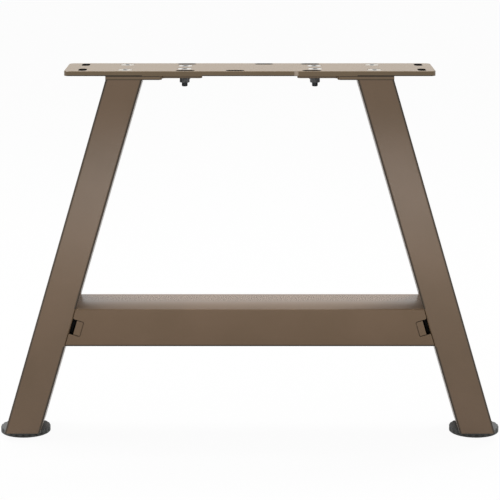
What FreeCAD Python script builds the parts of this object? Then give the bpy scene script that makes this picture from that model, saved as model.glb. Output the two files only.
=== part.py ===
import FreeCAD, Part
import math
import os
import Sketcher

# Trestle leg for a low table: two leaning tubes, a crossbar between them, a slotted plate on top and
# two levelling feet. X runs along the width, Y through the depth with the front at -Y, and Z up.
# The origin lies on the floor below the middle. All sizes are millimetres and degrees.

LEFT, RIGHT = -1, 1
SIDES = ((LEFT, "left"), (RIGHT, "right"))
ROWS = ((-1, "front"), (1, "back"))

SIZES = {
    # whole leg
    "height": 393.5,
    "clearance": 0.1,
    "running_gap": 0.3,
    # top plate
    "plate_length": 380,
    "plate_width": 70,
    "plate_thick": 5,
    "plate_corner": 6,
    "plate_edge": 0.5,
    "end_hole_dia": 9,
    "end_hole_inset": 16,
    "end_hole_shift": 2.4,
    "end_hole_y": 22,
    "slot_length": 19.5,
    "slot_width": 9,
    "slot_y": 28.6,
    "outer_slot_inset": 125.3,
    "outer_slot_shift": -1.3,
    "middle_slot_share": 0.232,
    "nick_x": 47.4,
    "nick_width": 4,
    "nick_depth": 2.5,
    # plates on the legs' heads
    "flange_thick": 4,
    "flange_length": 57.5,
    "flange_corner": 4,
    "tongue_reach": 41,
    "tongue_width": 40,
    # leg tubes
    "lean_angle": 16.7,
    "leg_head_inset": 42.5,
    "leg_width": 36,
    "leg_depth": 70,
    "leg_wall": 2,
    "leg_corner": 2.5,
    # crossbar
    "bar_bottom": 103,
    "bar_height": 40.5,
    "bar_wall": 2,
    "bar_corner": 2.5,
    "window_width": 12.3,
    "window_height": 16.8,
    "window_corner": 1.8,
    "cover_slot": 4.7,
    "cover_gap": 0.8,
    "cover_lip": 1.5,
    # bolted joint between crossbar and leg
    "joint_plate_thick": 3,
    "joint_plate_width": 40,
    "joint_bolt_dia": 8,
    "joint_bolt_length": 16,
    "joint_flats": 13,
    "joint_head_height": 5.3,
    "joint_nut_height": 6.5,
    # screws and nuts under the top plate
    "screw_dia": 6,
    "screw_head_dia": 15,
    "screw_head_thick": 2.2,
    "screw_socket": 4,
    "socket_depth": 1.8,
    "leg_screw_inset": 62,
    "leg_screw_y": 22,
    "leg_screw_length": 10,
    "tongue_bolt_inset": 122.8,
    "tongue_bolt_y": 13,
    "tongue_bolt_length": 18,
    "nut_flats": 10,
    "nut_height": 5,
    # levelling feet
    "disc_dia": 53,
    "disc_thick": 6,
    "groove_count": 24,
    "groove_width": 3.4,
    "groove_depth": 1,
    "foot_gap": 1.5,
    "foot_plate_thick": 6,
    "stud_dia": 8,
    "stud_length": 28,
    "spigot_dia": 6,
    "spigot_play": 0.05,
    "rivet_head_dia": 10,
    "rivet_head_thick": 1.4,
}

# Heights and places that follow from the sizes, as expressions on the sheet's cells. The legs, the
# screws and the outer holes are set in from the top plate's ends, so they move with them.
PLATE_END = "(Sizes.plate_length / 2)"
PLATE_UNDERSIDE = "(Sizes.height - Sizes.plate_thick)"
END_HOLE_X = f"({PLATE_END} - Sizes.end_hole_inset)"
OUTER_SLOT_X = f"({PLATE_END} - Sizes.outer_slot_inset)"
LEG_SCREW_X = f"({PLATE_END} - Sizes.leg_screw_inset)"
TONGUE_BOLT_X = f"({PLATE_END} - Sizes.tongue_bolt_inset)"
LEG_HEAD_X = f"({PLATE_END} - Sizes.leg_head_inset)"
LEG_TOP = f"({PLATE_UNDERSIDE} - Sizes.flange_thick)"
LEG_BOTTOM = "(Sizes.disc_thick + Sizes.foot_gap)"
LEG_ACROSS = "(Sizes.leg_width / cos(Sizes.lean_angle))"
LEG_WALL_ACROSS = "(Sizes.leg_wall / cos(Sizes.lean_angle))"
BAR_TOP = "(Sizes.bar_bottom + Sizes.bar_height)"
BAR_MIDDLE = "(Sizes.bar_bottom + Sizes.bar_height / 2)"
HALF_DEPTH = "(Sizes.leg_depth / 2)"
COVER_RISE = "(Sizes.window_width / 2 * tan(Sizes.lean_angle))"
TAPPED_HOLE_R = "(Sizes.screw_dia / 2 + Sizes.clearance)"
SCREW_HOLE_R = "(Sizes.screw_dia / 2 + 2 * Sizes.clearance)"
SCREW_TOP = "(Sizes.height - Sizes.clearance)"
JOINT_HOLE_R = "(Sizes.joint_bolt_dia / 2 + 2 * Sizes.clearance)"


def outer_x(height):
    """Distance from the middle to a leg's outer face at a height."""
    return f"({LEG_HEAD_X} + ({LEG_TOP} - {height}) * tan(Sizes.lean_angle))"


def inner_x(height, offset="0"):
    """Distance from the middle to a line parallel to a leg's inner face, offset towards the middle."""
    return f"({outer_x(height)} - {LEG_ACROSS} - ({offset}) / cos(Sizes.lean_angle))"


FOOT_X = f"({outer_x(LEG_BOTTOM)} - {LEG_ACROSS} / 2)"


def make_sheet(doc):
    """The driving dimensions, one cell each."""
    sheet = doc.addObject("Spreadsheet::Sheet", "Sizes")
    for row, (name, value) in enumerate(SIZES.items(), start=1):
        sheet.set(f"A{row}", name)
        sheet.set(f"B{row}", str(value))
        sheet.setAlias(f"B{row}", name)
    doc.recompute()
    return sheet


def new_body(doc, label):
    body = doc.addObject("PartDesign::Body", label)
    body.Label = label
    return body


def origin_part(body, role):
    """One of the body's own origin planes or axes."""
    return next(item for item in body.Origin.OriginFeatures if item.Role == role)


def new_sketch(body, role, offset="0"):
    """A sketch on one of the body's own origin planes, moved along the plane's normal."""
    sketch = body.newObject("Sketcher::SketchObject", "Sketch")
    sketch.AttachmentSupport = (origin_part(body, role), [""])
    sketch.MapMode = "FlatFace"
    sketch.setExpression("AttachmentOffset.Base.z", offset)
    return sketch


def tie(sketch, kind, target, expression):
    """A dimension that reads the sheet."""
    value = float(sketch.evalExpression(expression))
    index = sketch.addConstraint(Sketcher.Constraint(kind, *target, value))
    sketch.setExpression(f"Constraints[{index}]", expression)


def tie_point(sketch, geometry, end, x, y):
    tie(sketch, "DistanceX", (-1, 1, geometry, end), x)
    tie(sketch, "DistanceY", (-1, 1, geometry, end), y)


def start_point(sketch, x, y):
    """Where a point is drawn before the sketch is solved."""
    return FreeCAD.Vector(float(sketch.evalExpression(x)), float(sketch.evalExpression(y)), 0)


def draw_outline(sketch, points):
    """A closed outline of straight lines whose corners are pairs of expressions."""
    corners = [start_point(sketch, *point) for point in points]
    first = sketch.GeometryCount
    count = len(points)
    for i in range(count):
        sketch.addGeometry(Part.LineSegment(corners[i], corners[(i + 1) % count]))
    for i in range(count):
        following = first + (i + 1) % count
        sketch.addConstraint(Sketcher.Constraint("Coincident", first + i, 2, following, 1))
        tie_point(sketch, first + i, 1, *points[i])


def draw_box(sketch, x_low, y_low, x_high, y_high):
    draw_outline(sketch, [(x_low, y_low), (x_high, y_low), (x_high, y_high), (x_low, y_high)])


def draw_circle(sketch, x, y, radius):
    size = float(sketch.evalExpression(radius))
    circle = sketch.addGeometry(Part.Circle(start_point(sketch, x, y), FreeCAD.Vector(0, 0, 1), size))
    tie_point(sketch, circle, 3, x, y)
    tie(sketch, "Radius", (circle,), radius)


def draw_hexagon(sketch, across_flats):
    corner = f"({across_flats} / 2 / cos(30))"
    turns = range(0, 360, 60)
    draw_outline(sketch, [(f"{corner} * cos({turn})", f"{corner} * sin({turn})") for turn in turns])


def draw_slot(sketch, x, y, length, width):
    """A slot along X with round ends."""
    reach = f"(({length} - {width}) / 2)"
    centres = start_point(sketch, f"{x} - {reach}", y), start_point(sketch, f"{x} + {reach}", y)
    up = start_point(sketch, "0", f"{width} / 2")
    quarter = math.pi / 2
    arcs = []
    for centre, begin in zip(centres, (quarter, -quarter)):
        circle = Part.Circle(centre, FreeCAD.Vector(0, 0, 1), up.y)
        arcs.append(sketch.addGeometry(Part.ArcOfCircle(circle, begin, begin + 2 * quarter)))
    left, right = arcs
    top = sketch.addGeometry(Part.LineSegment(centres[0] + up, centres[1] + up))
    bottom = sketch.addGeometry(Part.LineSegment(centres[0] - up, centres[1] - up))
    joins = ((top, 1, left, 1), (top, 2, right, 2), (bottom, 1, left, 2), (bottom, 2, right, 1))
    for join in joins:
        sketch.addConstraint(Sketcher.Constraint("Tangent", *join))
    tie_point(sketch, left, 3, f"{x} - {reach}", y)
    tie_point(sketch, right, 3, f"{x} + {reach}", y)
    tie(sketch, "Radius", (left,), f"{width} / 2")


def add_feature(body, kind, sketch, length, both_ways, reverse):
    """A pad or pocket of a sketch. Lengths are expressions."""
    feature = body.newObject(kind, kind.split("::")[1])
    feature.Profile = sketch
    feature.Midplane = both_ways
    feature.Reversed = reverse
    feature.setExpression("Length", length)
    return feature


def pad(body, sketch, length, both_ways=False, reverse=False):
    return add_feature(body, "PartDesign::Pad", sketch, length, both_ways, reverse)


def pocket(body, sketch, length, both_ways=False, reverse=False):
    """A pocket that has to take material away."""
    body.Document.recompute()
    before = body.Tip.Shape.Volume
    feature = add_feature(body, "PartDesign::Pocket", sketch, length, both_ways, reverse)
    body.Document.recompute()
    if feature.Shape.Volume >= before - 1e-6:
        raise RuntimeError(f"{body.Label}: a pocket removes nothing")
    return feature


def revolve(body, sketch):
    feature = body.newObject("PartDesign::Revolution", "Revolution")
    feature.Profile = sketch
    feature.ReferenceAxis = (sketch, ["V_Axis"])
    feature.Angle = 360
    return feature


def dress_edges(body, kind, size, wanted):
    """A fillet or chamfer on the edges that a test picks by their ends and middle."""
    body.Document.recompute()
    base = body.Tip
    names = [f"Edge{i}" for i, edge in enumerate(base.Shape.Edges, start=1) if wanted(edge)]
    feature = body.newObject(kind, kind.split("::")[1])
    feature.Base = (base, names)
    prop = "Radius" if kind.endswith("Fillet") else "Size"
    feature.setExpression(prop, size)
    body.Document.recompute()
    return feature


def fillet(body, size, wanted):
    return dress_edges(body, "PartDesign::Fillet", size, wanted)


def chamfer(body, size, wanted):
    return dress_edges(body, "PartDesign::Chamfer", size, wanted)


def is_upright(edge):
    first, last = edge.Vertexes[0].Point, edge.Vertexes[-1].Point
    return abs(first.x - last.x) < 1e-6 and abs(first.y - last.y) < 1e-6 and abs(first.z - last.z) > 1e-6


def lies_in_depth(edge):
    first, last = edge.Vertexes[0].Point, edge.Vertexes[-1].Point
    return abs(first.y - last.y) > 1e-6


def read(doc, name):
    return float(doc.Sizes.get(name))


def make_top_plate(doc):
    """Flat bar with rounded corners, end holes, six slots, sunk screw seats and the front nick."""
    body = new_body(doc, "top_plate")
    outline = new_sketch(body, "XY_Plane", PLATE_UNDERSIDE)
    half_width = "(Sizes.plate_width / 2)"
    draw_box(outline, f"-{PLATE_END}", f"-{half_width}", PLATE_END, half_width)
    pad(body, outline, "Sizes.plate_thick")
    fillet(body, "Sizes.plate_corner", is_upright)
    height = read(doc, "height")
    chamfer(body, "Sizes.plate_edge", lambda edge: edge.BoundBox.ZMin > height - 1e-6)

    holes = new_sketch(body, "XY_Plane", "Sizes.height")
    for row, _ in ROWS:
        hole_y, slot_y = f"{row} * Sizes.end_hole_y", f"{row} * Sizes.slot_y"
        slot_xs = [f"{row} * Sizes.middle_slot_share * {OUTER_SLOT_X}"]
        for side, _ in SIDES:
            hole_x = f"{side} * {END_HOLE_X} + Sizes.end_hole_shift"
            draw_circle(holes, hole_x, hole_y, "Sizes.end_hole_dia / 2")
            slot_xs.append(f"{side} * {OUTER_SLOT_X} + Sizes.outer_slot_shift")
        for slot_x in slot_xs:
            draw_slot(holes, slot_x, slot_y, "Sizes.slot_length", "Sizes.slot_width")
    pocket(body, holes, "2 * Sizes.plate_thick")

    seats = new_sketch(body, "XY_Plane", "Sizes.height")
    screw_holes = new_sketch(body, "XY_Plane", "Sizes.height")
    for x, y, _, _ in screw_places():
        draw_circle(seats, x, y, "Sizes.screw_head_dia / 2 + Sizes.clearance")
        draw_circle(screw_holes, x, y, SCREW_HOLE_R)
    pocket(body, seats, "Sizes.screw_head_thick + Sizes.clearance")
    pocket(body, screw_holes, "2 * Sizes.plate_thick")

    nick = new_sketch(body, "YZ_Plane", "Sizes.nick_x")
    front = "-Sizes.plate_width / 2"
    draw_outline(nick, [(front, PLATE_UNDERSIDE), (front, "Sizes.height + Sizes.plate_edge"),
                        (f"{front} + Sizes.nick_depth", "Sizes.height + Sizes.plate_edge"),
                        (f"{front} + Sizes.nick_depth", "Sizes.height")])
    pocket(body, nick, "Sizes.nick_width", both_ways=True)


def screw_places():
    """Every screw that goes down through the top plate: x, y, the piece it holds, and its place name."""
    for side, side_name in SIDES:
        for row, row_name in ROWS:
            place = f"{side_name}_{row_name}"
            yield f"{side} * {LEG_SCREW_X}", f"{row} * Sizes.leg_screw_y", "leg", place
            yield f"{side} * {TONGUE_BOLT_X}", f"{row} * Sizes.tongue_bolt_y", "tongue", place


def make_flange_plate(doc, side, name):
    """Stepped plate welded to the leg's head and tapped for its screws, with a narrower tongue."""
    body = new_body(doc, f"{name}_flange_plate")
    outline = new_sketch(body, "XY_Plane", LEG_TOP)
    outer = f"{side} * {LEG_HEAD_X}"
    step = f"{side} * ({LEG_HEAD_X} - Sizes.flange_length)"
    end = f"{side} * ({LEG_HEAD_X} - Sizes.flange_length - Sizes.tongue_reach)"
    wide, narrow = HALF_DEPTH, "(Sizes.tongue_width / 2)"
    draw_outline(outline, [(outer, f"-{wide}"), (step, f"-{wide}"), (step, f"-{narrow}"),
                           (end, f"-{narrow}"), (end, narrow), (step, narrow), (step, wide), (outer, wide)])
    pad(body, outline, "Sizes.flange_thick")
    outer_end = abs(float(outline.evalExpression(outer)))

    def is_inner_corner(edge):
        return is_upright(edge) and abs(edge.BoundBox.XMin) < outer_end - 1e-3

    fillet(body, "Sizes.flange_corner", is_inner_corner)
    holes = new_sketch(body, "XY_Plane", PLATE_UNDERSIDE)
    for x, y, holds, place in screw_places():
        if place.startswith(name):
            draw_circle(holes, x, y, TAPPED_HOLE_R if holds == "leg" else SCREW_HOLE_R)
    pocket(body, holes, "2 * Sizes.flange_thick")


def cut_across_leg(body, side, radius, length):
    """A round hole square to the leg's inner face, at the middle of the crossbar's end."""
    doc = body.Document
    sketch = new_sketch(body, "YZ_Plane", f"{side} * {inner_x(BAR_MIDDLE)}")
    sketch.setExpression("AttachmentOffset.Base.y", BAR_MIDDLE)
    turn = FreeCAD.Rotation(FreeCAD.Vector(1, 0, 0), -side * read(doc, "lean_angle"))
    sketch.AttachmentOffset = FreeCAD.Placement(sketch.AttachmentOffset.Base, turn)
    draw_circle(sketch, "0", "0", radius)
    pocket(body, sketch, length, both_ways=True)


def make_leg(doc, side, name):
    """Rectangular tube that leans outwards, mitred level at the head and the foot."""
    body = new_body(doc, f"{name}_leg")

    def corners(inset, depth_past="0"):
        low, high = f"({LEG_BOTTOM} - {depth_past})", f"({LEG_TOP} + {depth_past})"
        return [(f"{side} * ({outer_x(low)} - {inset})", low),
                (f"{side} * ({outer_x(low)} - {LEG_ACROSS} + {inset})", low),
                (f"{side} * ({outer_x(high)} - {LEG_ACROSS} + {inset})", high),
                (f"{side} * ({outer_x(high)} - {inset})", high)]

    outside = new_sketch(body, "XZ_Plane")
    draw_outline(outside, corners("0"))
    pad(body, outside, "Sizes.leg_depth", both_ways=True)
    fillet(body, "Sizes.leg_corner", lambda edge: not lies_in_depth(edge) and edge.BoundBox.ZLength > 1e-3)
    inside = new_sketch(body, "XZ_Plane")
    draw_outline(inside, corners(LEG_WALL_ACROSS, "Sizes.leg_wall"))
    pocket(body, inside, "Sizes.leg_depth - 2 * Sizes.leg_wall", both_ways=True)
    cut_across_leg(body, side, JOINT_HOLE_R, "3 * Sizes.leg_wall")


def make_crossbar(doc):
    """Rectangular tube mitred to both legs, with a window in its front wall at each end."""
    body = new_body(doc, "crossbar")

    def corners(low, high, past):
        return [(f"-1 * ({inner_x(low)} + {past})", low), (f"{inner_x(low)} + {past}", low),
                (f"{inner_x(high)} + {past}", high), (f"-1 * ({inner_x(high)} + {past})", high)]

    outside = new_sketch(body, "XZ_Plane")
    draw_outline(outside, corners("Sizes.bar_bottom", BAR_TOP, "0"))
    pad(body, outside, "Sizes.leg_depth", both_ways=True)
    fillet(body, "Sizes.bar_corner", lambda edge: not lies_in_depth(edge) and edge.BoundBox.ZLength < 1e-3)
    inside = new_sketch(body, "XZ_Plane")
    draw_outline(inside, corners("(Sizes.bar_bottom + Sizes.bar_wall)", f"({BAR_TOP} - Sizes.bar_wall)",
                                 "Sizes.bar_wall"))
    pocket(body, inside, "Sizes.leg_depth - 2 * Sizes.bar_wall", both_ways=True)

    windows = new_sketch(body, "XZ_Plane", HALF_DEPTH)
    for side, _ in SIDES:
        draw_outline(windows, [joint_point(side, *corner) for corner in window_corners("0", "0")])
    pocket(body, windows, "1.5 * Sizes.bar_wall")
    wall_back = read(doc, "bar_wall") - read(doc, "leg_depth") / 2
    bar_end = float(doc.Sizes.evalExpression(inner_x("Sizes.bar_bottom")))
    inner_limit = bar_end - read(doc, "window_width") / 2

    def is_window_corner(edge):
        box = edge.BoundBox
        runs_in_depth = box.XLength < 1e-6 and box.ZLength < 1e-6 and box.YLength > 1e-6
        in_front_wall = box.YMax < wall_back + 1
        away_from_leg = max(abs(box.XMin), abs(box.XMax)) < inner_limit
        return runs_in_depth and in_front_wall and away_from_leg

    fillet(body, "Sizes.window_corner", is_window_corner)


def joint_point(side, across, along):
    """A point near the crossbar's end: across from the leg's inner face, and along the leg."""
    lean = "Sizes.lean_angle"
    x = f"{side} * ({inner_x(BAR_MIDDLE)} - ({across}) * cos({lean}) - ({along}) * sin({lean}))"
    z = f"{BAR_MIDDLE} - ({across}) * sin({lean}) + ({along}) * cos({lean})"
    return x, z


def window_corners(start, inset):
    """The window's corners, or the cover's where an inset leaves its gap."""
    high = f"({COVER_RISE} + Sizes.window_height / 2 - {inset})"
    low = f"({COVER_RISE} - Sizes.window_height / 2 + {inset})"
    end = f"(Sizes.window_width - {inset})"
    return [(start, low), (end, low), (end, high), (start, high)]


def make_window_cover(doc, side, name):
    """Small plate in the window, flush with the wall, on a wider lip that lies behind the wall."""
    body = new_body(doc, f"{name}_window_cover")
    face = new_sketch(body, "XZ_Plane", HALF_DEPTH)
    face_corners = window_corners("Sizes.cover_slot", "Sizes.cover_gap")
    draw_outline(face, [joint_point(side, *corner) for corner in face_corners])
    pad(body, face, "Sizes.bar_wall", reverse=True)
    lip = new_sketch(body, "XZ_Plane", f"{HALF_DEPTH} - Sizes.bar_wall")
    lip_corners = window_corners("Sizes.cover_slot", "-Sizes.cover_gap")
    draw_outline(lip, [joint_point(side, *corner) for corner in lip_corners])
    pad(body, lip, "Sizes.cover_lip", reverse=True)


def make_joint_plate(doc, side, name):
    """Plate welded into the crossbar's end, flat against the leg's inner face."""
    body = new_body(doc, f"{name}_joint_plate")
    low, high = "(Sizes.bar_bottom + Sizes.bar_wall)", f"({BAR_TOP} - Sizes.bar_wall)"
    far = "Sizes.joint_plate_thick"
    outline = new_sketch(body, "XZ_Plane")
    draw_outline(outline, [(f"{side} * {inner_x(low)}", low),
                           (f"{side} * {inner_x(high)}", high),
                           (f"{side} * {inner_x(high, far)}", high),
                           (f"{side} * {inner_x(low, far)}", low)])
    pad(body, outline, "Sizes.joint_plate_width", both_ways=True)
    cut_across_leg(body, side, JOINT_HOLE_R, "4 * Sizes.joint_plate_thick")


def place_at_joint(doc, body, side):
    """Stand a turned piece on the leg's inner face, its own Z pointing into the crossbar."""
    body.setExpression("Placement.Base.x", f"{side} * {inner_x(BAR_MIDDLE)}")
    body.setExpression("Placement.Base.z", BAR_MIDDLE)
    turn = FreeCAD.Rotation(FreeCAD.Vector(0, 1, 0), -side * (90 + read(doc, "lean_angle")))
    body.Placement = FreeCAD.Placement(body.Placement.Base, turn)


def make_nut(doc, label, flats, height, bore_radius, top="0"):
    """Hexagon nut whose own top face lies against what it holds."""
    body = new_body(doc, label)
    outline = new_sketch(body, "XY_Plane", top)
    draw_hexagon(outline, flats)
    draw_circle(outline, "0", "0", bore_radius)
    pad(body, outline, height, reverse=True)
    return body


def make_joint_nut(doc, side, name):
    """Nut welded to the inside of the leg's inner wall."""
    bore = "(Sizes.joint_bolt_dia / 2 + Sizes.clearance)"
    body = make_nut(doc, f"{name}_joint_nut", "Sizes.joint_flats", "Sizes.joint_nut_height", bore,
                    "-Sizes.leg_wall")
    place_at_joint(doc, body, side)


def make_joint_bolt(doc, side, name):
    """Hexagon bolt that pulls the crossbar's end against the leg."""
    body = new_body(doc, f"{name}_joint_bolt")
    head = new_sketch(body, "XY_Plane", "Sizes.joint_plate_thick")
    draw_hexagon(head, "Sizes.joint_flats")
    pad(body, head, "Sizes.joint_head_height")
    shank = new_sketch(body, "XY_Plane", "Sizes.joint_plate_thick")
    draw_circle(shank, "0", "0", "Sizes.joint_bolt_dia / 2")
    pad(body, shank, "Sizes.joint_bolt_length", reverse=True)
    place_at_joint(doc, body, side)


def put(body, x, y, z):
    for axis, text in (("x", x), ("y", y), ("z", z)):
        body.setExpression(f"Placement.Base.{axis}", text)


def make_screw(doc, label, x, y, length):
    """Flat-headed screw with a hexagon socket, its head flush in the top plate."""
    body = new_body(doc, label)
    head, shank = "(Sizes.screw_head_dia / 2)", "(Sizes.screw_dia / 2)"
    profile = new_sketch(body, "XZ_Plane")
    draw_outline(profile, [("0", "0"), (head, "0"), (head, "-Sizes.screw_head_thick"),
                           (shank, "-Sizes.screw_head_thick"), (shank, f"-{length}"), ("0", f"-{length}")])
    revolve(body, profile)
    socket = new_sketch(body, "XY_Plane")
    draw_hexagon(socket, "Sizes.screw_socket")
    pocket(body, socket, "Sizes.socket_depth")
    put(body, x, y, SCREW_TOP)


def make_screws(doc):
    """The leg screws go into the tapped flange plates, and the tongue bolts into nuts underneath."""
    for x, y, holds, place in screw_places():
        if holds == "leg":
            make_screw(doc, f"{place}_leg_screw", x, y, "Sizes.leg_screw_length")
        else:
            make_screw(doc, f"{place}_tongue_bolt", x, y, "Sizes.tongue_bolt_length")
            label = f"{place}_tongue_nut"
            nut = make_nut(doc, label, "Sizes.nut_flats", "Sizes.nut_height", TAPPED_HOLE_R)
            put(nut, x, y, LEG_TOP)


def make_foot_plate(doc, side, name):
    """Thick tapped plate that closes the tube's lower end and takes the stud."""
    body = new_body(doc, f"{name}_foot_plate")
    outline = new_sketch(body, "XZ_Plane")
    low, high = LEG_BOTTOM, f"({LEG_BOTTOM} + Sizes.foot_plate_thick)"
    inset = f"({LEG_WALL_ACROSS} + Sizes.clearance)"
    draw_outline(outline, [(f"{side} * ({outer_x(low)} - {inset})", low),
                           (f"{side} * ({outer_x(low)} - {LEG_ACROSS} + {inset})", low),
                           (f"{side} * ({outer_x(high)} - {LEG_ACROSS} + {inset})", high),
                           (f"{side} * ({outer_x(high)} - {inset})", high)])
    pad(body, outline, "Sizes.leg_depth - 2 * Sizes.leg_wall - 2 * Sizes.clearance", both_ways=True)
    bore = new_sketch(body, "XY_Plane", high)
    draw_circle(bore, f"{side} * {FOOT_X}", "0", "Sizes.stud_dia / 2 + Sizes.running_gap")
    pocket(body, bore, "2 * Sizes.foot_plate_thick")


def make_foot_stud(doc, side, name):
    """Levelling stud: its shoulder stands on the disc, and its spigot is riveted under it."""
    body = new_body(doc, f"{name}_foot_stud")
    profile = new_sketch(body, "XZ_Plane")
    thread, spigot = "(Sizes.stud_dia / 2)", "(Sizes.spigot_dia / 2)"
    rivet = "(Sizes.rivet_head_dia / 2)"
    head_top = "(Sizes.rivet_head_thick + Sizes.running_gap)"
    shoulder = "(Sizes.disc_thick + Sizes.running_gap)"
    top = f"({LEG_BOTTOM} + Sizes.stud_length)"
    draw_outline(profile, [("0", "Sizes.running_gap"), (rivet, "Sizes.running_gap"), (rivet, head_top),
                           (spigot, head_top), (spigot, shoulder), (thread, shoulder), (thread, top),
                           ("0", top)])
    revolve(body, profile)
    put(body, f"{side} * {FOOT_X}", "0", "0")


def make_foot_disc(doc, side, name):
    """Round foot that is turned by hand: grooved rim, and a recess for the riveted spigot."""
    body = new_body(doc, f"{name}_foot_disc")
    profile = new_sketch(body, "XZ_Plane")
    bore = "(Sizes.spigot_dia / 2 + Sizes.spigot_play)"
    rim, recess = "(Sizes.disc_dia / 2)", "(Sizes.rivet_head_dia / 2 + 2 * Sizes.running_gap)"
    recess_top = "(Sizes.rivet_head_thick + 2 * Sizes.running_gap)"
    draw_outline(profile, [(recess, "0"), (rim, "0"), (rim, "Sizes.disc_thick"), (bore, "Sizes.disc_thick"),
                           (bore, recess_top), (recess, recess_top)])
    revolve(body, profile)
    groove = new_sketch(body, "XY_Plane", "Sizes.disc_thick")
    half_groove, past_rim = "Sizes.groove_width / 2", f"{rim} + 1"
    draw_outline(groove, [(f"{rim} - Sizes.groove_depth", "0"), (rim, f"-{half_groove}"),
                          (past_rim, f"-{half_groove}"), (past_rim, half_groove), (rim, half_groove)])
    cut = pocket(body, groove, "2 * Sizes.disc_thick")
    pattern = body.newObject("PartDesign::PolarPattern", "PolarPattern")
    pattern.Originals = [cut]
    pattern.Axis = (origin_part(body, "Z_Axis"), [""])
    pattern.Angle = 360
    pattern.setExpression("Occurrences", "Sizes.groove_count")
    body.Tip = pattern
    put(body, f"{side} * {FOOT_X}", "0", "0")


def check(doc):
    """Every object has to be sound before anything is written."""
    for item in doc.Objects:
        if "Invalid" in item.State or "Error" in item.State:
            raise RuntimeError(f"{item.Label} ({item.Name}) is in state {item.State}")
    for body in bodies(doc):
        if body.Shape.isNull() or not body.Shape.isValid():
            raise RuntimeError(f"{body.Label} has no valid shape")
        if len(body.Shape.Solids) != 1:
            raise RuntimeError(f"{body.Label} is {len(body.Shape.Solids)} solids")


def bodies(doc):
    return [item for item in doc.Objects if item.TypeId == "PartDesign::Body"]


def build():
    doc = FreeCAD.newDocument("TrestleLeg")
    make_sheet(doc)
    make_top_plate(doc)
    make_crossbar(doc)
    for side, name in SIDES:
        for make in (make_flange_plate, make_leg, make_window_cover, make_joint_plate, make_joint_nut,
                     make_joint_bolt, make_foot_plate, make_foot_stud, make_foot_disc):
            make(doc, side, name)
    make_screws(doc)
    doc.recompute()
    check(doc)
    os.makedirs("parts", exist_ok=True)
    for body in bodies(doc):
        body.Shape.exportStep(f"parts/{body.Label}.step")
        print(f"{body.Label}: {body.Shape.Volume / 1000:.2f} cm3")


build()
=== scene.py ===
import math

import bmesh
import bpy
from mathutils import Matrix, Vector


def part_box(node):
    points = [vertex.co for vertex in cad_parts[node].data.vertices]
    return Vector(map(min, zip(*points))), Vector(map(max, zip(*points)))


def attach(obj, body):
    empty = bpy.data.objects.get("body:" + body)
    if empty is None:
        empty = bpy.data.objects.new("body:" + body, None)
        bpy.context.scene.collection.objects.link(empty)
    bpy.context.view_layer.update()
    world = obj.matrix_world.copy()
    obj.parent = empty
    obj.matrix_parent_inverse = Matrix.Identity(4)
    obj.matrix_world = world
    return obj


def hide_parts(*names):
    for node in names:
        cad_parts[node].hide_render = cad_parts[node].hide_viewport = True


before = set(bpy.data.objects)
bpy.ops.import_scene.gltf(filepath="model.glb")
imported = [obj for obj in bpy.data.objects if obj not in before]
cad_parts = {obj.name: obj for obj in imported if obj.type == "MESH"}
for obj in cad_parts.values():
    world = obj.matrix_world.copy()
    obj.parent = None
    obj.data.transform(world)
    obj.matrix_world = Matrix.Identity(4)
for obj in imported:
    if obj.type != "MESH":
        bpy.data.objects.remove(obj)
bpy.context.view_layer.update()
bpy.ops.object.select_all(action="DESELECT")


# Legs. Two rectangular steel tubes with rounded corners, cut level at both ends and welded up. They are
# powder coated in a satin taupe, with painted shade darkening the tubes' corners.
lean = math.radians(16.7)
leg_width = 0.036
leg_depth = 0.070


def new_finish(name):
    """A material with its shader and the object's own coordinates."""
    material = bpy.data.materials.new(name)
    material.use_nodes = True
    nodes, links = material.node_tree.nodes, material.node_tree.links
    place = nodes.new("ShaderNodeTexCoord").outputs["Object"]
    return material, nodes, links, nodes["Principled BSDF"], place


def cloud(nodes, links, place, scale, detail):
    """Soft random patches, as a factor from 0 to 1."""
    noise = nodes.new("ShaderNodeTexNoise")
    noise.inputs["Scale"].default_value = scale
    noise.inputs["Detail"].default_value = detail
    links.new(place, noise.inputs["Vector"])
    return noise.outputs["Fac"]


def spread(nodes, links, factor, low, high, to_low, to_high):
    """A factor stretched from one range to another, and held there."""
    band = nodes.new("ShaderNodeMapRange")
    band.interpolation_type = "SMOOTHSTEP"
    for name, value in (("From Min", low), ("From Max", high), ("To Min", to_low), ("To Max", to_high)):
        band.inputs[name].default_value = value
    links.new(factor, band.inputs["Value"])
    return band.outputs["Result"]


def sum_up(nodes, links, kind, first, second):
    """One step of arithmetic on two values, each a number, an output or None."""
    step = nodes.new("ShaderNodeMath")
    step.operation = kind
    for socket, value in zip(step.inputs, (first, second)):
        if isinstance(value, (int, float)):
            socket.default_value = value
        elif value is not None:
            links.new(value, socket)
    return step.outputs["Value"]


def blend_tones(nodes, links, factor, first, second):
    """One colour turning to another. Either may be the output of an earlier blend."""
    mix = nodes.new("ShaderNodeMix")
    mix.data_type = "RGBA"
    links.new(factor, mix.inputs["Factor"])
    for socket, tone in ((mix.inputs["A"], first), (mix.inputs["B"], second)):
        if isinstance(tone, tuple):
            socket.default_value = (*tone, 1)
        else:
            links.new(tone, socket)
    return mix.outputs["Result"]


def roughen(nodes, links, shader, factor, strength, distance):
    """A fine unevenness in how the surface catches the light."""
    bump = nodes.new("ShaderNodeBump")
    bump.inputs["Strength"].default_value = strength
    bump.inputs["Distance"].default_value = distance
    links.new(factor, bump.inputs["Height"])
    links.new(bump.outputs["Normal"], shader.inputs["Normal"])


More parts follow.
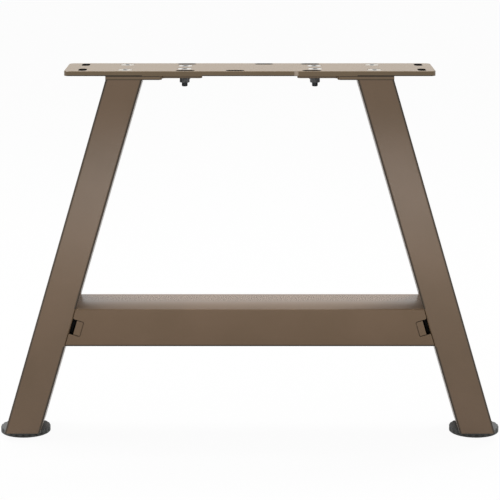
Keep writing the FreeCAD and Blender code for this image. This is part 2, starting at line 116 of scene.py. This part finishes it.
def within(nodes, links, place, low, high):
    """1 inside a box and 0 outside it."""
    split = nodes.new("ShaderNodeSeparateXYZ")
    links.new(place, split.inputs["Vector"])
    inside = 1
    for axis, start, stop in zip("XYZ", low, high):
        for kind, limit in (("GREATER_THAN", start), ("LESS_THAN", stop)):
            passed = sum_up(nodes, links, kind, split.outputs[axis], limit)
            inside = sum_up(nodes, links, "MULTIPLY", inside, passed)
    return inside


def powder_coat(name, centre, turn, half_sizes, reach=0.0028, upper_edge=True, dull_front=0, green=0.087,
                corner_shade=(0.014, 0.010, 0.006), covered=()):
    """Satin taupe coat, with painted shade that darkens it within reach of a piece's long corners, where they
    turn away from the light, and a duller gloss there. The two half sizes say how far those corners lie from
    the piece's centre, along its own turned axes. In the boxes that another piece covers, the corners get no
    painted shade."""
    coat, body_coat = (0.141, green, 0.045), (0.159, 1.13 * green, 0.054)
    material, nodes, links, shader, place = new_finish(name)
    drift = spread(nodes, links, cloud(nodes, links, place, 14, 4), 0.3, 0.7, 0, 1)
    tone = blend_tones(nodes, links, drift, coat, body_coat)

    own = nodes.new("ShaderNodeMapping")
    own.vector_type = "TEXTURE"
    own.inputs["Location"].default_value = centre
    own.inputs["Rotation"].default_value = (0, turn, 0)
    links.new(place, own.inputs["Vector"])
    split = nodes.new("ShaderNodeSeparateXYZ")
    links.new(own.outputs["Vector"], split.inputs["Vector"])
    near = []
    for axis, half in half_sizes.items():
        both_sides = upper_edge or axis != "Z"
        away = sum_up(nodes, links, "ABSOLUTE" if both_sides else "MULTIPLY", split.outputs[axis], -1)
        near.append(spread(nodes, links, away, half - reach, half - reach / 3, 0, 1))
    corner = sum_up(nodes, links, "MULTIPLY", near[0], near[1])
    for low_corner, high_corner in covered:
        bare = sum_up(nodes, links, "SUBTRACT", 1, within(nodes, links, place, low_corner, high_corner))
        corner = sum_up(nodes, links, "MULTIPLY", corner, bare)
    # Painted shade: the long corners turn to a darker tone.
    tone = blend_tones(nodes, links, corner, tone, corner_shade)
    links.new(tone, shader.inputs["Base Color"])

    peel = cloud(nodes, links, place, 900, 2)
    gloss = spread(nodes, links, peel, 0.3, 0.7, 0.30, 0.34)
    front = spread(nodes, links, split.outputs["Y"], -0.030, 0.008, dull_front, -dull_front / 6)
    dulled = sum_up(nodes, links, "ADD", sum_up(nodes, links, "MULTIPLY", corner, 0.5), front)
    links.new(sum_up(nodes, links, "ADD", gloss, dulled), shader.inputs["Roughness"])
    roughen(nodes, links, shader, peel, 0.03, 0.0001)
    return material


def finish_node(name, material):
    """A CAD piece keeps its mesh and takes a better finish."""
    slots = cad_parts[name].data.materials
    slots.clear()
    slots.append(material)


bar_low, bar_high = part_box("crossbar")
for side, sign in (("left", -1), ("right", 1)):
    low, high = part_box(f"{side}_leg")
    middle = (low + high) / 2
    inner = middle.x + sign * math.tan(lean) * (middle.z - (bar_low.z + bar_high.z) / 2)
    bar_end = ((min(inner, 0), -1, bar_low.z), (max(inner, 0), 1, bar_high.z))
    # The legs' corners take a lighter painted shade than the plates' corners.
    coat = powder_coat(f"{side} leg powder coat", middle, -sign * lean,
                       {"X": leg_width / 2, "Y": leg_depth / 2}, corner_shade=(0.047, 0.036, 0.025),
                       covered=[bar_end])
    finish_node(f"{side}_leg", coat)


# Plates on the legs' heads and feet, cut from flat steel, welded to the tubes and coated with them.
for side in ("left", "right"):
    for plate in ("flange_plate", "foot_plate"):
        low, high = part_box(f"{side}_{plate}")
        middle = (low + high) / 2
        half = (high - low) / 2
        # Their corners take the coat's painted shade.
        coat = powder_coat(f"{side} {plate.replace('_', ' ')} powder coat", middle, 0,
                           {"Z": half.z, "Y": half.y}, reach=0.0009, green=0.091)
        finish_node(f"{side}_{plate}", coat)


# Crossbar. A rectangular tube cut to the legs' lean, with a small plate in the window at each end. The plate
# welded inside each end takes a bolt. That plate and bolt, and the window's walls, are painted near-black, a
# painted shade for the hollow tube behind the windows.
half = (bar_high - bar_low) / 2
hollow_shade, window_depth = (0.004, 0.003, 0.002), 0.007
bar_coat = powder_coat("crossbar powder coat", (bar_low + bar_high) / 2, 0, {"Z": half.z, "Y": half.y},
                       reach=0.0026, upper_edge=False, dull_front=0.28)
nodes, links = bar_coat.node_tree.nodes, bar_coat.node_tree.links
shader = nodes["Principled BSDF"]
spot, facing = nodes.new("ShaderNodeTexCoord"), nodes.new("ShaderNodeSeparateXYZ")
links.new(spot.outputs["Normal"], facing.inputs["Vector"])
sideways = spread(nodes, links, sum_up(nodes, links, "ABSOLUTE", facing.outputs["Y"], None), 0.7, 0.9, 1, 0)
for side in ("left", "right"):
    low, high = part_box(f"{side}_window_cover")
    window = within(nodes, links, spot.outputs["Object"], (low.x - 0.008, -1, low.z - 0.002),
                    (high.x + 0.008, bar_low.y + window_depth, high.z + 0.002))
    coated = shader.inputs["Base Color"].links[0].from_socket
    # Painted shade: the window's sideways walls turn near-black.
    window_shade = sum_up(nodes, links, "MULTIPLY", window, sideways)
    links.new(blend_tones(nodes, links, window_shade, coated, hollow_shade), shader.inputs["Base Color"])
for node in ("crossbar", "left_window_cover", "right_window_cover"):
    finish_node(node, bar_coat)
# The plates and bolts inside the bar are painted near-black, a painted shade for the hollow tube.
material, nodes, links, shader, place = new_finish("painted shade inside the crossbar")
scale = spread(nodes, links, cloud(nodes, links, place, 180, 4), 0.3, 0.7, 0, 1)
tone = blend_tones(nodes, links, scale, hollow_shade, (0.010, 0.008, 0.006))
links.new(tone, shader.inputs["Base Color"])
links.new(spread(nodes, links, scale, 0, 1, 0.75, 0.95), shader.inputs["Roughness"])
roughen(nodes, links, shader, scale, 0.2, 0.0001)
for side in ("left", "right"):
    finish_node(f"{side}_joint_plate", material)
    finish_node(f"{side}_joint_bolt", material)


# Nuts for the crossbar's bolts. Each is zinc plated and welded inside the leg's inner wall, out of sight.
def zinc_plate(name, tone=(0.62, 0.62, 0.60), dull=0.32):
    """Bright zinc with the faint grey patches of the plating bath, smoothest where it is brightest."""
    material, nodes, links, shader, place = new_finish(name)
    patches = spread(nodes, links, cloud(nodes, links, place, 260, 5), 0.35, 0.65, 0, 1)
    shade = tuple(0.74 * part for part in tone)
    links.new(blend_tones(nodes, links, patches, shade, tone), shader.inputs["Base Color"])
    links.new(spread(nodes, links, patches, 0, 1, dull + 0.1, dull), shader.inputs["Roughness"])
    roughen(nodes, links, shader, cloud(nodes, links, place, 3000, 3), 0.1, 0.00005)
    shader.inputs["Metallic"].default_value = 1
    return material


joint_zinc = zinc_plate("zinc plated joint nut")
for side in ("left", "right"):
    finish_node(f"{side}_joint_nut", joint_zinc)


# Top plate. Flat steel bar with rounded corners and a broken upper edge, punched and drilled before it was
# coated. The walls of its slots are painted near-black, a painted shade for the hollows. The holes near its
# ends are longer front to back than they are wide, and a small nick marks its front edge.
plate_bevel, plate_corner, corner_points, slot_points = 0.0004, 0.006, 48, 24
slot_half_length, slot_half_width, slot_y = 0.00975, 0.0045, 0.0286
outer_slot_x, outer_slot_shift, middle_slot_x = 0.0647, -0.0013, 0.0150
end_hole_half_width, end_hole_half_length = 0.0043, 0.0093
end_hole_x, end_hole_shift, end_hole_y = 0.174, 0.0024, 0.0216
seat_radius, seat_depth, screw_hole_radius = 0.0076, 0.0023, 0.0032
nick_x, nick_half_width = 0.0474, 0.002


def pick(mesh_object, test):
    """In edit mode, select the vertices that a test on their place picks, and nothing else."""
    bpy.ops.mesh.select_mode(type="VERT")
    mesh = bmesh.from_edit_mesh(mesh_object.data)
    for item in (*mesh.faces, *mesh.edges, *mesh.verts):
        item.select = False
    for vertex in mesh.verts:
        vertex.select = test(vertex.co)
    mesh.select_flush(True)
    bmesh.update_edit_mesh(mesh_object.data)


def rounded_loop(plate, x, y, z, half_x, half_y, corner, count=corner_points):
    """A loop of edges, from a circle whose four quarters are moved apart. It stays selected."""
    bpy.ops.mesh.primitive_circle_add(vertices=count, radius=corner, location=(x, y, z),
                                      rotation=(0, 0, math.pi / count))
    near = corner + 1e-6
    for right in (-1, 1):
        for back in (-1, 1):
            pick(plate, lambda co: abs(co.z - z) < 1e-7 and 0 < (co.x - x) * right < near
                 and 0 < (co.y - y) * back < near and math.hypot(co.x - x, co.y - y) < near)
            bpy.ops.transform.translate(value=(right * (half_x - corner), back * (half_y - corner), 0))
    pick(plate, lambda co: abs(co.z - z) < 1e-7 and abs(co.x - x) < half_x + 1e-6
         and abs(co.y - y) < half_y + 1e-6)


def cut_nick(plate, z, half_x, half_y, corner, depth):
    """Four more points on a loop's front edge, two of them set back for the nick."""
    pick(plate, lambda co: abs(co.z - z) < 1e-7 and co.y < -half_y + 0.00005)
    bpy.ops.mesh.subdivide(number_cuts=4)
    edge_end = half_x - corner + corner * math.sin(math.pi / corner_points)
    moves = ((-nick_half_width, 0), (-nick_half_width, depth), (nick_half_width, depth), (nick_half_width, 0))
    for fifth, (beside, set_back) in enumerate(moves, start=1):
        old_x = edge_end * (0.4 * fifth - 1)
        pick(plate, lambda co: abs(co.z - z) < 1e-7 and abs(co.x - old_x) < 1e-5 and co.y < -half_y + 0.0001)
        bpy.ops.transform.translate(value=(nick_x + beside - old_x, set_back, 0))


def make_plate(name, top, bottom, half_x, half_y):
    """The plate in its place. Its bevelled outline comes first, then each slot and seat, then its faces."""
    mesh = bpy.data.meshes.new(name)
    plate = bpy.data.objects.new(name, mesh)
    bpy.context.scene.collection.objects.link(plate)
    bpy.context.view_layer.objects.active = plate
    plate.select_set(True)
    bpy.ops.object.mode_set(mode="EDIT")
    for z, inset, nick_depth in ((bottom, 0, 0), (top - plate_bevel, 0, 0.0023), (top, plate_bevel, 0.0021)):
        rounded_loop(plate, 0, 0, z, half_x - inset, half_y - inset, plate_corner - inset)
        cut_nick(plate, z, half_x - inset, half_y - inset, plate_corner - inset, nick_depth)
    pick(plate, lambda co: co.z > top - 2 * plate_bevel)
    bpy.ops.mesh.bridge_edge_loops()
    pick(plate, lambda co: co.z < top - plate_bevel / 2)
    bpy.ops.mesh.bridge_edge_loops()

    slots = []
    for row in (-1, 1):
        slots.append((row * middle_slot_x, row * slot_y, slot_half_length, slot_half_width))
        for side in (-1, 1):
            slots.append((side * outer_slot_x + outer_slot_shift, row * slot_y,
                          slot_half_length, slot_half_width))
            slots.append((side * end_hole_x + end_hole_shift, row * end_hole_y,
                          end_hole_half_width, end_hole_half_length))
    for x, y, reach_x, reach_y in slots:
        rounded_loop(plate, x, y, top, reach_x, reach_y, min(reach_x, reach_y), slot_points)
        bpy.ops.mesh.extrude_region_move(TRANSFORM_OT_translate={"value": (0, 0, bottom - top)})
    for kind in ("leg_screw", "tongue_bolt"):
        for side in ("left", "right"):
            for row in ("front", "back"):
                low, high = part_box(f"{side}_{row}_{kind}")
                x, y = (low.x + high.x) / 2, (low.y + high.y) / 2
                rounded_loop(plate, x, y, top, seat_radius, seat_radius, seat_radius)
                bpy.ops.mesh.extrude_region_move(TRANSFORM_OT_translate={"value": (0, 0, -seat_depth)})
                bpy.ops.mesh.extrude_region_move(TRANSFORM_OT_translate={"value": (0, 0, 0)})
                share = screw_hole_radius / seat_radius
                bpy.ops.transform.resize(value=(share, share, 1), center_override=(x, y, top))
                bpy.ops.mesh.extrude_region_move(
                    TRANSFORM_OT_translate={"value": (0, 0, bottom - top + seat_depth)})
    for z in (top, bottom):
        pick(plate, lambda co: abs(co.z - z) < 1e-7)
        bpy.ops.mesh.fill(use_beauty=True)
    bpy.ops.mesh.select_all(action="SELECT")
    bpy.ops.mesh.remove_doubles(threshold=1e-6)
    bpy.ops.mesh.normals_make_consistent(inside=False)
    bpy.ops.object.mode_set(mode="OBJECT")
    bpy.ops.object.shade_smooth_by_angle(angle=math.radians(30))
    return plate


low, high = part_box("top_plate")
half = (high - low) / 2
tongues = []
for side in ("left", "right"):
    flange_low, flange_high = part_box(f"{side}_flange_plate")
    leg_low, leg_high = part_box(f"{side}_leg")
    start, stop = (leg_high.x, flange_high.x) if side == "left" else (flange_low.x, leg_low.x)
    tongues.append(((start, -1, 0), (stop, 1, 1)))
plate_coat = powder_coat("top plate powder coat", (low + high) / 2, 0, {"Z": half.z, "Y": half.y},
                         reach=0.0012, upper_edge=False, green=0.094, covered=tongues)
nodes, links = plate_coat.node_tree.nodes, plate_coat.node_tree.links
shader = nodes["Principled BSDF"]
place = nodes.new("ShaderNodeTexCoord").outputs["Object"]
slot_walls = within(nodes, links, place, (0.002 - half.x, 0.0014 - half.y, low.z + 0.0001),
                    (half.x - 0.002, half.y - 0.0014, high.z - 0.0001))
nick_highlight = within(nodes, links, place, (nick_x - nick_half_width - 0.0002, -1, low.z + 0.0004),
                    (nick_x + nick_half_width + 0.0002, 0.0026 - half.y, 1))
coated = shader.inputs["Base Color"].links[0].from_socket
# Painted shade: the slots' walls turn near-black.
tone = blend_tones(nodes, links, slot_walls, coated, hollow_shade)
# Painted highlight: the nick's ramp takes a lighter tone than the coat.
tone = blend_tones(nodes, links, nick_highlight, tone, (0.36, 0.29, 0.22))
links.new(tone, shader.inputs["Base Color"])
bpy.ops.object.select_all(action="DESELECT")
top_plate = make_plate("top_plate_finished", high.z, low.z, half.x, half.y)
top_plate.data.materials.append(plate_coat)
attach(top_plate, "frame")
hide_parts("top_plate")


# Flat-headed screws, sunk flush in the top plate. Each head is turned, with a broken rim and a
# hexagon socket, and zinc plated. The tongue bolts are longer and show a thread under their nuts.
head_radius, head_thick, socket_flats, socket_depth = 0.0075, 0.0022, 0.004, 0.0018
shank_radius, rim_break, tip_break, thread_top = 0.003, 0.0003, 0.0006, 0.3843


def pull_rim(mesh_object, radius, rim_z, new_radius, new_z):
    """Extrude the open rim at a height to a new radius and height."""
    pick(mesh_object, lambda co: abs(co.z - rim_z) < 1e-6 and abs(math.hypot(co.x, co.y) - radius) < 1e-5)
    bpy.ops.mesh.extrude_region_move(TRANSFORM_OT_translate={"value": (0, 0, new_z - rim_z)})
    share = new_radius / radius
    bpy.ops.transform.resize(value=(share, share, 1), center_override=(0, 0, 0))


def set_down(piece, x, y, z):
    """Put a finished piece in its place, with the place in its mesh."""
    for vertex in piece.data.vertices:
        vertex.co += Vector((x, y, z))
    piece.location = (0, 0, 0)


def make_screw(name, length):
    """One screw, standing with its head's top at the origin."""
    corner = socket_flats / 2 / math.cos(math.radians(30))
    bpy.ops.mesh.primitive_circle_add(vertices=6, radius=corner, location=(0, 0, 0))
    screw = bpy.context.object
    screw.name = name
    bpy.ops.object.mode_set(mode="EDIT")
    bpy.ops.mesh.select_all(action="SELECT")
    bpy.ops.mesh.subdivide(number_cuts=7)
    bpy.ops.mesh.extrude_region_move(TRANSFORM_OT_translate={"value": (0, 0, -socket_depth)})
    bpy.ops.mesh.extrude_region_move(TRANSFORM_OT_translate={"value": (0, 0, -socket_depth / 6)})
    bpy.ops.mesh.merge(type="CENTER")
    face_radius = head_radius - rim_break
    bpy.ops.mesh.primitive_circle_add(vertices=48, radius=face_radius, location=(0, 0, 0))
    pick(screw, lambda co: abs(co.z) < 1e-6)
    bpy.ops.mesh.bridge_edge_loops()
    pull_rim(screw, face_radius, 0, head_radius, -rim_break)
    pull_rim(screw, head_radius, -rim_break, head_radius, -head_thick)
    pull_rim(screw, head_radius, -head_thick, shank_radius, -head_thick)
    pull_rim(screw, shank_radius, -head_thick, shank_radius, -length + tip_break)
    pull_rim(screw, shank_radius, -length + tip_break, shank_radius - tip_break, -length)
    pick(screw, lambda co: abs(co.z + length) < 1e-6)
    bpy.ops.mesh.edge_face_add()
    bpy.ops.mesh.select_all(action="SELECT")
    bpy.ops.mesh.remove_doubles(threshold=1e-6)
    bpy.ops.mesh.normals_make_consistent(inside=False)
    bpy.ops.object.mode_set(mode="OBJECT")
    bpy.ops.object.shade_smooth_by_angle(angle=math.radians(30))
    return screw


def copy_of(pattern, name):
    """Another of the same piece, with its own mesh."""
    piece = pattern.copy()
    piece.data = pattern.data.copy()
    piece.name = name
    bpy.context.scene.collection.objects.link(piece)
    return piece


def screw_zinc(name, tone, reflection_grey, x, y, reach):
    """Zinc on a turned head, with a painted reflection that greys it towards its front and back, and painted
    shade that turns the shank near-black below the plates.
    """
    material = zinc_plate(name, tone, 0.30)
    nodes, links = material.node_tree.nodes, material.node_tree.links
    shader = nodes["Principled BSDF"]
    split = nodes.new("ShaderNodeSeparateXYZ")
    links.new(nodes.new("ShaderNodeTexCoord").outputs["Object"], split.inputs["Vector"])
    away = []
    for axis, centre in (("X", x), ("Y", y)):
        place = sum_up(nodes, links, "ABSOLUTE", split.outputs[axis], None)
        place = sum_up(nodes, links, "SUBTRACT", place, centre)
        away.append(sum_up(nodes, links, "ABSOLUTE", place, None))
    across, along = away
    beside = sum_up(nodes, links, "SUBTRACT", across, sum_up(nodes, links, "MULTIPLY", along, 0.35))
    grey = spread(nodes, links, beside, reach - 0.0006, reach + 0.0006, 1, 0)
    below = spread(nodes, links, split.outputs["Z"], thread_top - 0.0005, thread_top + 0.0005, 1, 0)
    plated = shader.inputs["Base Color"].links[0].from_socket
    # Painted reflection: the head greys towards its front and back.
    plated = blend_tones(nodes, links, grey, plated, reflection_grey)
    # Painted shade: the shank turns near-black below the plates.
    links.new(blend_tones(nodes, links, below, plated, (0.030, 0.031, 0.033)), shader.inputs["Base Color"])
    return material


for kind, length, tone, reflection_grey, reach in (
        ("leg_screw", 0.010, (0.64, 0.60, 0.53), (0.35, 0.345, 0.32), 0.0008),
        ("tongue_bolt", 0.018, (0.74, 0.73, 0.70), (0.26, 0.26, 0.25), 0.0018)):
    low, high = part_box(f"right_back_{kind}")
    bpy.ops.object.select_all(action="DESELECT")
    pattern = make_screw(f"{kind}_pattern", length)
    pattern.data.materials.append(screw_zinc(f"zinc plated {kind.replace('_', ' ')}", tone, reflection_grey,
                                             (low.x + high.x) / 2, (low.y + high.y) / 2, reach))
    for side in ("left", "right"):
        for row in ("front", "back"):
            node = f"{side}_{row}_{kind}"
            low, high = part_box(node)
            screw = copy_of(pattern, f"{node}_finished")
            set_down(screw, (low.x + high.x) / 2, (low.y + high.y) / 2, high.z)
            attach(screw, "frame")
            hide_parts(node)
    bpy.data.objects.remove(pattern)


# Nuts under the tongues, dark grey steel, with the corners chamfered on both faces as a turned nut has.
def dark_steel(name):
    """Dark grey steel in soft patches, with a sheen."""
    material, nodes, links, shader, place = new_finish(name)
    patches = spread(nodes, links, cloud(nodes, links, place, 400, 4), 0.35, 0.65, 0, 1)
    tone = blend_tones(nodes, links, patches, (0.050, 0.050, 0.051), (0.095, 0.095, 0.097))
    links.new(tone, shader.inputs["Base Color"])
    links.new(spread(nodes, links, patches, 0, 1, 0.42, 0.30), shader.inputs["Roughness"])
    roughen(nodes, links, shader, cloud(nodes, links, place, 2500, 3), 0.15, 0.00005)
    shader.inputs["Metallic"].default_value = 0.6
    return material


def make_nut(name, flats, height, bore_radius):
    """One nut, its top face at the origin: a hexagon whose corners are turned off above and below."""
    corner, face_radius, slope = flats / 2 / math.cos(math.radians(30)), 0.475 * flats, 0.58
    bpy.ops.mesh.primitive_circle_add(vertices=6, radius=corner, location=(0, 0, 0))
    nut = bpy.context.object
    nut.name = name
    bpy.ops.object.mode_set(mode="EDIT")
    bpy.ops.mesh.select_all(action="SELECT")
    bpy.ops.mesh.subdivide(number_cuts=5)
    bpy.ops.mesh.extrude_region_move(TRANSFORM_OT_translate={"value": (0, 0, -height)})
    for sixth in range(4):
        radius = math.hypot(flats / 2, corner / 2 * sixth / 3)
        drop = (radius - face_radius) * slope
        for level, move in ((0, -drop), (-height, drop)):
            pick(nut, lambda co: abs(co.z - level) < 1e-7 and abs(math.hypot(co.x, co.y) - radius) < 1e-6)
            bpy.ops.transform.translate(value=(0, 0, move))
    for level in (0, -height):
        for radius in (face_radius, bore_radius):
            bpy.ops.mesh.primitive_circle_add(vertices=36, radius=radius, location=(0, 0, level))
        pick(nut, lambda co: abs(co.z - level) < height / 3 and math.hypot(co.x, co.y) > face_radius - 1e-6)
        bpy.ops.mesh.bridge_edge_loops()
        pick(nut, lambda co: abs(co.z - level) < 1e-7 and math.hypot(co.x, co.y) < face_radius + 1e-6)
        bpy.ops.mesh.bridge_edge_loops()
    pick(nut, lambda co: math.hypot(co.x, co.y) < bore_radius + 1e-6)
    bpy.ops.mesh.bridge_edge_loops()
    bpy.ops.mesh.select_all(action="SELECT")
    bpy.ops.mesh.remove_doubles(threshold=1e-6)
    bpy.ops.mesh.normals_make_consistent(inside=False)
    bpy.ops.object.mode_set(mode="OBJECT")
    bpy.ops.object.shade_smooth_by_angle(angle=math.radians(20))
    return nut


bpy.ops.object.select_all(action="DESELECT")
low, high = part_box("left_front_tongue_nut")
pattern = make_nut("nut_pattern", 0.010, high.z - low.z, 0.0031)
pattern.data.materials.append(dark_steel("black steel nut"))
for side in ("left", "right"):
    for row in ("front", "back"):
        node = f"{side}_{row}_tongue_nut"
        low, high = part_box(node)
        nut = copy_of(pattern, f"{node}_finished")
        set_down(nut, (low.x + high.x) / 2, (low.y + high.y) / 2, high.z)
        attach(nut, "frame")
        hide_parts(node)
bpy.data.objects.remove(pattern)


# Levelling feet. A zinc plated stud screws in the plate at the leg's lower end, and a dark moulded
# disc with grips round its rim turns on its spigot.
stud_zinc = zinc_plate("zinc plated stud")
for side in ("left", "right"):
    finish_node(f"{side}_foot_stud", stud_zinc)


def moulded_plastic(name):
    """Dark grey plastic with a fine moulded grain, with painted shade darkening it towards the floor, and
    worn smoother on top.
    """
    material, nodes, links, shader, place = new_finish(name)
    scuffs = spread(nodes, links, cloud(nodes, links, place, 120, 5), 0.4, 0.65, 0, 1)
    tone = blend_tones(nodes, links, scuffs, (0.052, 0.054, 0.053), (0.080, 0.083, 0.080))
    height = nodes.new("ShaderNodeSeparateXYZ")
    links.new(place, height.inputs["Vector"])
    # Painted shade: the foot of the rim turns darker near the floor.
    tone = blend_tones(nodes, links, spread(nodes, links, height.outputs["Z"], 0.0026, 0.0042, 1, 0),
                       tone, (0.048, 0.049, 0.045))
    links.new(tone, shader.inputs["Base Color"])
    grain = cloud(nodes, links, place, 2200, 2)
    worn = spread(nodes, links, height.outputs["Z"], 0.0054, 0.0059, 0.28, 0.14)
    links.new(sum_up(nodes, links, "ADD", worn, spread(nodes, links, scuffs, 0, 1, 0.30, 0.38)),
              shader.inputs["Roughness"])
    roughen(nodes, links, shader, grain, 0.2, 0.00008)
    return material


def make_disc(name):
    """One disc standing on the origin: a smooth foot, grips from there up to its broken edge, and a flat
    top with the spigot's bore, which opens below into a recess for the riveted head."""
    radius, thick, grips, points = 0.0265, 0.006, 24, 8
    flat_top, bore, recess, recess_top = 0.0245, 0.00305, 0.0056, 0.0020
    levels = ((0, 0.0259), (0.0005, radius), (0.0016, radius), (0.0024, radius), (0.0056, radius),
              (thick, 0.0261), (thick, flat_top))
    bpy.ops.mesh.primitive_circle_add(vertices=grips * points, radius=levels[0][1], location=(0, 0, 0))
    disc = bpy.context.object
    disc.name = name
    bpy.ops.object.mode_set(mode="EDIT")
    for (old_z, old_radius), (new_z, new_radius) in zip(levels, levels[1:]):
        pull_rim(disc, old_radius, old_z, new_radius, new_z)
    step = math.tau / (grips * points)
    for level in (0.0024, 0.0056, thick):
        for offsets, deep in (((0,), 0.0010), ((1, 7), 0.0007), ((2, 6), 0.0001)):
            pick(disc, lambda co: abs(co.z - level) < 1e-6 and math.hypot(co.x, co.y) > flat_top + 0.0005
                 and round((math.atan2(co.x, co.y) % math.tau) / step) % points in offsets)
            share = 1 - deep / radius
            bpy.ops.transform.resize(value=(share, share, 1), center_override=(0, 0, 0))
    steps = ((flat_top, thick), (bore, thick), (bore, recess_top), (recess, recess_top), (recess, 0))
    for (old_radius, old_z), (new_radius, new_z) in zip(steps, steps[1:]):
        pull_rim(disc, old_radius, old_z, new_radius, new_z)
    pick(disc, lambda co: abs(co.z) < 1e-6)
    bpy.ops.mesh.bridge_edge_loops()
    bpy.ops.mesh.select_all(action="SELECT")
    bpy.ops.mesh.remove_doubles(threshold=1e-6)
    bpy.ops.mesh.normals_make_consistent(inside=False)
    bpy.ops.object.mode_set(mode="OBJECT")
    bpy.ops.object.shade_smooth_by_angle(angle=math.radians(24))
    return disc


bpy.ops.object.select_all(action="DESELECT")
pattern = make_disc("disc_pattern")
pattern.data.materials.append(moulded_plastic("dark moulded plastic"))
for side in ("left", "right"):
    node = f"{side}_foot_disc"
    low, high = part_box(node)
    disc = copy_of(pattern, f"{node}_finished")
    set_down(disc, (low.x + high.x) / 2, (low.y + high.y) / 2, low.z)
    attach(disc, f"{side}_disc")
    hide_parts(node)
bpy.data.objects.remove(pattern)


# Studio. A pale floor and soft light all round, brightest from above and behind, where the photograph
# has its white background.
bpy.ops.object.select_all(action="DESELECT")
bpy.ops.mesh.primitive_plane_add(size=12, location=(0, 0, 0))
floor = bpy.context.object
floor.name = "studio_floor"
floor_paint = bpy.data.materials.new("pale studio floor")
floor_paint.use_nodes = True
nodes, links = floor_paint.node_tree.nodes, floor_paint.node_tree.links
nodes["Principled BSDF"].inputs["Base Color"].default_value = (0.60, 0.60, 0.60, 1)
nodes["Principled BSDF"].inputs["Roughness"].default_value = 0.9


def seen_ray(nodes, links):
    """1 where the camera sees the surface, by itself or in a reflection, and 0 where it lights others."""
    ray = nodes.new("ShaderNodeLightPath")
    seen = sum_up(nodes, links, "MAXIMUM", ray.outputs["Is Camera Ray"], ray.outputs["Is Glossy Ray"])
    return sum_up(nodes, links, "MAXIMUM", seen, ray.outputs["Is Transmission Ray"])


white = nodes.new("ShaderNodeEmission")
mix = nodes.new("ShaderNodeMixShader")
links.new(sum_up(nodes, links, "MULTIPLY", seen_ray(nodes, links), 0.95), mix.inputs["Fac"])
links.new(nodes["Principled BSDF"].outputs["BSDF"], mix.inputs[1])
links.new(white.outputs["Emission"], mix.inputs[2])
links.new(mix.outputs["Shader"], nodes["Material Output"].inputs["Surface"])
floor.data.materials.append(floor_paint)

world = bpy.data.worlds.new("soft studio")
bpy.context.scene.world = world
world.use_nodes = True
nodes, links = world.node_tree.nodes, world.node_tree.links
nodes.clear()
room_light = nodes.new("ShaderNodeBackground")
room_light.inputs["Color"].default_value = (1, 1, 1, 1)
room_light.inputs["Strength"].default_value = 0.74
backdrop = nodes.new("ShaderNodeBackground")
backdrop.inputs["Color"].default_value = (1, 1, 1, 1)
backdrop.inputs["Strength"].default_value = 1
mix = nodes.new("ShaderNodeMixShader")
links.new(seen_ray(nodes, links), mix.inputs["Fac"])
links.new(room_light.outputs["Background"], mix.inputs[1])
links.new(backdrop.outputs["Background"], mix.inputs[2])
output = nodes.new("ShaderNodeOutputWorld")
links.new(mix.outputs["Shader"], output.inputs["Surface"])


def hang_softbox(name, place, aim, width, height, watts, spread_angle=180):
    """A rectangular lamp that the camera doesn't see, turned towards a point."""
    light = bpy.data.lights.new(name, "AREA")
    light.shape = "RECTANGLE"
    light.size, light.size_y, light.energy = width, height, watts
    light.spread = math.radians(spread_angle)
    lamp = bpy.data.objects.new(name, light)
    lamp.location = place
    lamp.rotation_euler = (Vector(aim) - lamp.location).to_track_quat("-Z", "Y").to_euler()
    lamp.visible_camera = False
    bpy.context.scene.collection.objects.link(lamp)


hang_softbox("overhead softbox", (-0.4, 0.39, 2.0), (-0.25, 0, 0.3), width=2.4, height=0.26, watts=45)
hang_softbox("front strip light", (0.03, -0.9, 0.205), (0.03, 0, 0.215), width=0.7, height=0.04,
             watts=0.057, spread_angle=19)


# Camera, at the photograph's place: two metres in front, a little above the plate and looking down.
camera_data = bpy.data.cameras.new("photograph")
camera_data.sensor_width = 36
camera_data.lens = 139.1
camera_data.shift_x = 0.0004
camera = bpy.data.objects.new("photograph", camera_data)
camera.location = (0, -1.999, 0.632)
camera.rotation_euler = (math.radians(77.79), 0, 0)
bpy.context.scene.collection.objects.link(camera)
bpy.context.scene.camera = camera
bpy.context.scene.view_settings.view_transform = "Standard"
